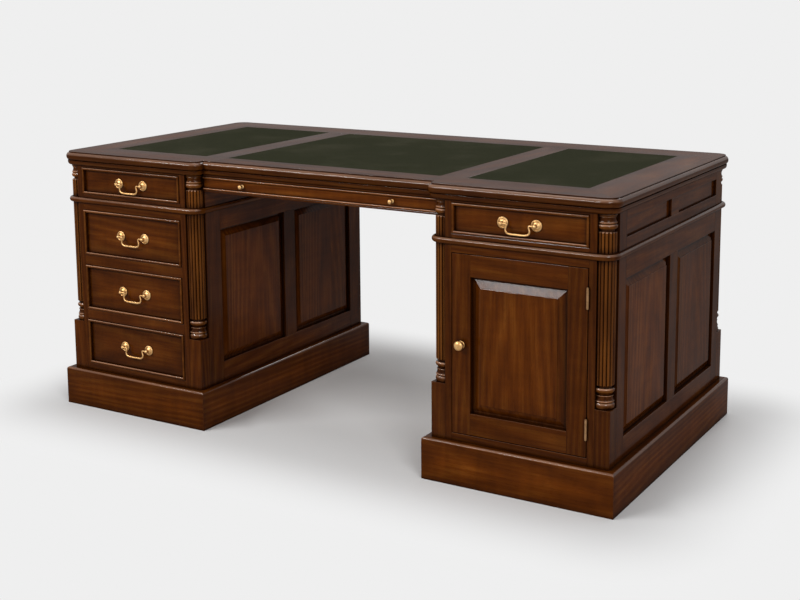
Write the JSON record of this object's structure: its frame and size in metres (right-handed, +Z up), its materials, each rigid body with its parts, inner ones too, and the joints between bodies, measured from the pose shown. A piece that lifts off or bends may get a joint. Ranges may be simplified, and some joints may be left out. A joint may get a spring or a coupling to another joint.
{
  "type": "partners desk",
  "caption": "Mahogany partners desk with leather writing top, drawers with swan-neck pulls, panelled cupboard doors, reeded corner columns and an open kneehole.",
  "frame": {"origin": "middle of the footprint on the floor", "axes": "+X to the right along the length seen from the front, -Y to the front, +Z up"},
  "size_m": [1.8, 0.904, 0.785],
  "materials": {
    "mahogany": "polished satin lacquer",
    "leather": "fine grain, semi-matt",
    "brass": "satin polish"
  },
  "bodies": {
    "carcass": {"top_border": "mahogany", "top_ground": "mahogany", "leather_centre_panel": "leather", "leather_side_panels": "leather", "frieze_frame": "mahogany", "frieze_end_panels": "mahogany", "frieze_columns": "mahogany", "waist_mouldings": "mahogany", "plinth_left": "mahogany", "plinth_right": "mahogany", "pedestal_frame_left": "mahogany", "pedestal_frame_right": "mahogany", "side_panels": "mahogany", "corner_columns": "mahogany", "pedestal_boards": "mahogany", "drawer_runners": "mahogany", "case_hinge_leaves": "brass"},
    "front_left_frieze_drawer": {"front_left_frieze_drawer": "mahogany", "front_left_frieze_drawer_pull": "brass"},
    "front_left_frieze_drawer_bail": {"front_left_frieze_drawer_bail": "brass"},
    "front_right_frieze_drawer": {"front_right_frieze_drawer": "mahogany", "front_right_frieze_drawer_pull": "brass"},
    "front_right_frieze_drawer_bail": {"front_right_frieze_drawer_bail": "brass"},
    "front_lower_drawer": {"front_lower_drawer": "mahogany", "front_lower_drawer_pull": "brass"},
    "front_lower_drawer_bail": {"front_lower_drawer_bail": "brass"},
    "front_middle_drawer": {"front_middle_drawer": "mahogany", "front_middle_drawer_pull": "brass"},
    "front_middle_drawer_bail": {"front_middle_drawer_bail": "brass"},
    "front_upper_drawer": {"front_upper_drawer": "mahogany", "front_upper_drawer_pull": "brass"},
    "front_upper_drawer_bail": {"front_upper_drawer_bail": "brass"},
    "rear_left_frieze_drawer": {"rear_left_frieze_drawer": "mahogany", "rear_left_frieze_drawer_pull": "brass"},
    "rear_left_frieze_drawer_bail": {"rear_left_frieze_drawer_bail": "brass"},
    "rear_right_frieze_drawer": {"rear_right_frieze_drawer": "mahogany", "rear_right_frieze_drawer_pull": "brass"},
    "rear_right_frieze_drawer_bail": {"rear_right_frieze_drawer_bail": "brass"},
    "rear_lower_drawer": {"rear_lower_drawer": "mahogany", "rear_lower_drawer_pull": "brass"},
    "rear_lower_drawer_bail": {"rear_lower_drawer_bail": "brass"},
    "rear_middle_drawer": {"rear_middle_drawer": "mahogany", "rear_middle_drawer_pull": "brass"},
    "rear_middle_drawer_bail": {"rear_middle_drawer_bail": "brass"},
    "rear_upper_drawer": {"rear_upper_drawer": "mahogany", "rear_upper_drawer_pull": "brass"},
    "rear_upper_drawer_bail": {"rear_upper_drawer_bail": "brass"},
    "front_centre_drawer": {"front_centre_drawer": "mahogany", "front_centre_drawer_knobs": "brass"},
    "front_door": {"front_door_frame": "mahogany", "front_door_panel": "mahogany", "front_door_knob": "brass", "front_door_hinge_leaves": "brass"},
    "rear_centre_drawer": {"rear_centre_drawer": "mahogany", "rear_centre_drawer_knobs": "brass"},
    "rear_door": {"rear_door_frame": "mahogany", "rear_door_panel": "mahogany", "rear_door_knob": "brass", "rear_door_hinge_leaves": "brass"}
  },
  "joints": [
    {"name": "front_left_frieze_drawer_slide", "type": "slide", "parent": "carcass", "child": "front_left_frieze_drawer", "axis": [0, -1, 0], "range_m": [0, 0.28]},
    {"name": "front_left_frieze_drawer_bail_hinge", "type": "hinge", "parent": "front_left_frieze_drawer", "child": "front_left_frieze_drawer_bail", "pos_m": [-0.632, -0.437, 0.6995], "axis": [-1, 0, 0], "range_deg": [0, 80]},
    {"name": "front_right_frieze_drawer_slide", "type": "slide", "parent": "carcass", "child": "front_right_frieze_drawer", "axis": [0, -1, 0], "range_m": [0, 0.28]},
    {"name": "front_right_frieze_drawer_bail_hinge", "type": "hinge", "parent": "front_right_frieze_drawer", "child": "front_right_frieze_drawer_bail", "pos_m": [0.632, -0.437, 0.6995], "axis": [-1, 0, 0], "range_deg": [0, 80]},
    {"name": "front_lower_drawer_slide", "type": "slide", "parent": "carcass", "child": "front_lower_drawer", "axis": [0, -1, 0], "range_m": [0, 0.28]},
    {"name": "front_lower_drawer_bail_hinge", "type": "hinge", "parent": "front_lower_drawer", "child": "front_lower_drawer_bail", "pos_m": [-0.632, -0.437, 0.20317], "axis": [-1, 0, 0], "range_deg": [0, 80]},
    {"name": "front_middle_drawer_slide", "type": "slide", "parent": "carcass", "child": "front_middle_drawer", "axis": [0, -1, 0], "range_m": [0, 0.28]},
    {"name": "front_middle_drawer_bail_hinge", "type": "hinge", "parent": "front_middle_drawer", "child": "front_middle_drawer_bail", "pos_m": [-0.632, -0.437, 0.3725], "axis": [-1, 0, 0], "range_deg": [0, 80]},
    {"name": "front_upper_drawer_slide", "type": "slide", "parent": "carcass", "child": "front_upper_drawer", "axis": [0, -1, 0], "range_m": [0, 0.28]},
    {"name": "front_upper_drawer_bail_hinge", "type": "hinge", "parent": "front_upper_drawer", "child": "front_upper_drawer_bail", "pos_m": [-0.632, -0.437, 0.54183], "axis": [-1, 0, 0], "range_deg": [0, 80]},
    {"name": "rear_left_frieze_drawer_slide", "type": "slide", "parent": "carcass", "child": "rear_left_frieze_drawer", "axis": [0, 1, 0], "range_m": [0, 0.28]},
    {"name": "rear_left_frieze_drawer_bail_hinge", "type": "hinge", "parent": "rear_left_frieze_drawer", "child": "rear_left_frieze_drawer_bail", "pos_m": [-0.632, 0.437, 0.6995], "axis": [1, 0, 0], "range_deg": [0, 80]},
    {"name": "rear_right_frieze_drawer_slide", "type": "slide", "parent": "carcass", "child": "rear_right_frieze_drawer", "axis": [0, 1, 0], "range_m": [0, 0.28]},
    {"name": "rear_right_frieze_drawer_bail_hinge", "type": "hinge", "parent": "rear_right_frieze_drawer", "child": "rear_right_frieze_drawer_bail", "pos_m": [0.632, 0.437, 0.6995], "axis": [1, 0, 0], "range_deg": [0, 80]},
    {"name": "rear_lower_drawer_slide", "type": "slide", "parent": "carcass", "child": "rear_lower_drawer", "axis": [0, 1, 0], "range_m": [0, 0.28]},
    {"name": "rear_lower_drawer_bail_hinge", "type": "hinge", "parent": "rear_lower_drawer", "child": "rear_lower_drawer_bail", "pos_m": [0.632, 0.437, 0.20317], "axis": [1, 0, 0], "range_deg": [0, 80]},
    {"name": "rear_middle_drawer_slide", "type": "slide", "parent": "carcass", "child": "rear_middle_drawer", "axis": [0, 1, 0], "range_m": [0, 0.28]},
    {"name": "rear_middle_drawer_bail_hinge", "type": "hinge", "parent": "rear_middle_drawer", "child": "rear_middle_drawer_bail", "pos_m": [0.632, 0.437, 0.3725], "axis": [1, 0, 0], "range_deg": [0, 80]},
    {"name": "rear_upper_drawer_slide", "type": "slide", "parent": "carcass", "child": "rear_upper_drawer", "axis": [0, 1, 0], "range_m": [0, 0.28]},
    {"name": "rear_upper_drawer_bail_hinge", "type": "hinge", "parent": "rear_upper_drawer", "child": "rear_upper_drawer_bail", "pos_m": [0.632, 0.437, 0.54183], "axis": [1, 0, 0], "range_deg": [0, 80]},
    {"name": "front_centre_drawer_slide", "type": "slide", "parent": "carcass", "child": "front_centre_drawer", "axis": [0, -1, 0], "range_m": [0, 0.28]},
    {"name": "front_door_hinge", "type": "hinge", "parent": "carcass", "child": "front_door", "pos_m": [0.81875, -0.4345, 0.3725], "axis": [0, 0, 1], "range_deg": [0, 110]},
    {"name": "rear_centre_drawer_slide", "type": "slide", "parent": "carcass", "child": "rear_centre_drawer", "axis": [0, 1, 0], "range_m": [0, 0.28]},
    {"name": "rear_door_hinge", "type": "hinge", "parent": "carcass", "child": "rear_door", "pos_m": [-0.81875, 0.4345, 0.3725], "axis": [0, 0, 1], "range_deg": [0, 110]}
  ]
}
